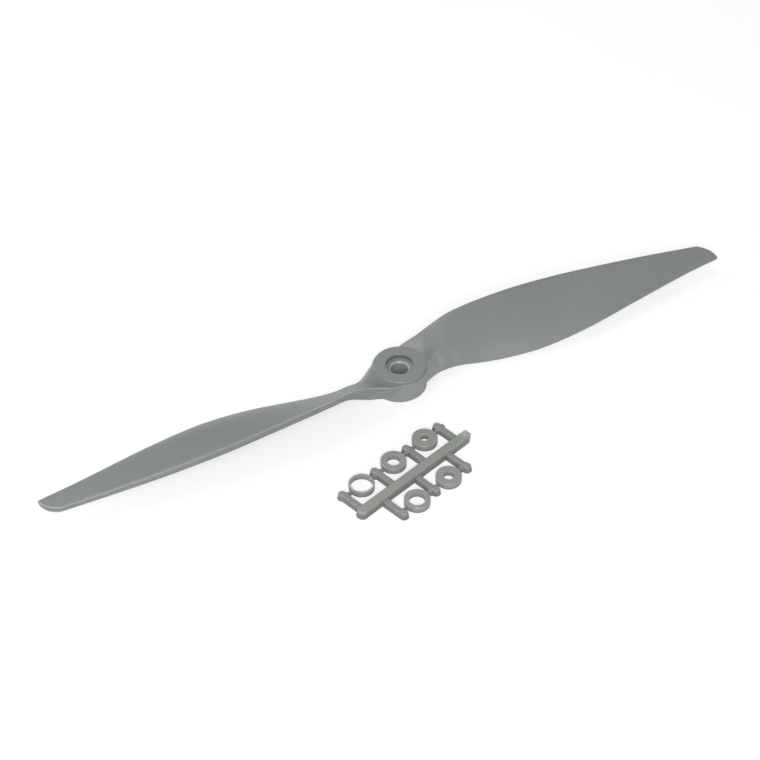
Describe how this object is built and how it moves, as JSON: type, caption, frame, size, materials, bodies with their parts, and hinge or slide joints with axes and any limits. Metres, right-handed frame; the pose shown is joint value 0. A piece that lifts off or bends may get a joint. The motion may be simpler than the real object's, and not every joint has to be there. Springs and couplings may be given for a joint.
{
  "type": "propeller",
  "caption": "Two-blade model aircraft propeller with a thick round hub, lying beside its moulded tree of snap-off shaft adapter rings.",
  "frame": {"origin": "hub bore axis at the flat rear face of the hub, which rests on the table", "axes": "+Z forward along the bore, out of the front face; +X along one blade, whose leading edge is on the +Y side"},
  "size_m": [0.2794, 0.0735, 0.016],
  "materials": {
    "blade_nylon": "satin glass-filled nylon",
    "tree_nylon": "satin glass-filled nylon"
  },
  "bodies": {
    "propeller": {"propeller": "blade_nylon"},
    "ring_tree": {"ring_tree": "tree_nylon"},
    "adapter_ring_3_2mm": {"adapter_ring_3_2mm": "tree_nylon"},
    "adapter_ring_4mm": {"adapter_ring_4mm": "tree_nylon"},
    "adapter_ring_5mm": {"adapter_ring_5mm": "tree_nylon"},
    "adapter_ring_6mm": {"adapter_ring_6mm": "tree_nylon"},
    "adapter_ring_8mm": {"adapter_ring_8mm": "tree_nylon"}
  },
  "joints": [
    {"name": "tree_lift", "type": "slide", "parent": "propeller", "child": "ring_tree", "axis": [0, 0, 1], "range_m": [0, 0.06]},
    {"name": "ring_3_2mm_release", "type": "slide", "parent": "ring_tree", "child": "adapter_ring_3_2mm", "axis": [0, 0, 1], "range_m": [0, 0.02]},
    {"name": "ring_4mm_release", "type": "slide", "parent": "ring_tree", "child": "adapter_ring_4mm", "axis": [0, 0, 1], "range_m": [0, 0.02]},
    {"name": "ring_5mm_release", "type": "slide", "parent": "ring_tree", "child": "adapter_ring_5mm", "axis": [0, 0, 1], "range_m": [0, 0.02]},
    {"name": "ring_6mm_release", "type": "slide", "parent": "ring_tree", "child": "adapter_ring_6mm", "axis": [0, 0, 1], "range_m": [0, 0.02]},
    {"name": "ring_8mm_release", "type": "slide", "parent": "ring_tree", "child": "adapter_ring_8mm", "axis": [0, 0, 1], "range_m": [0, 0.02]}
  ]
}
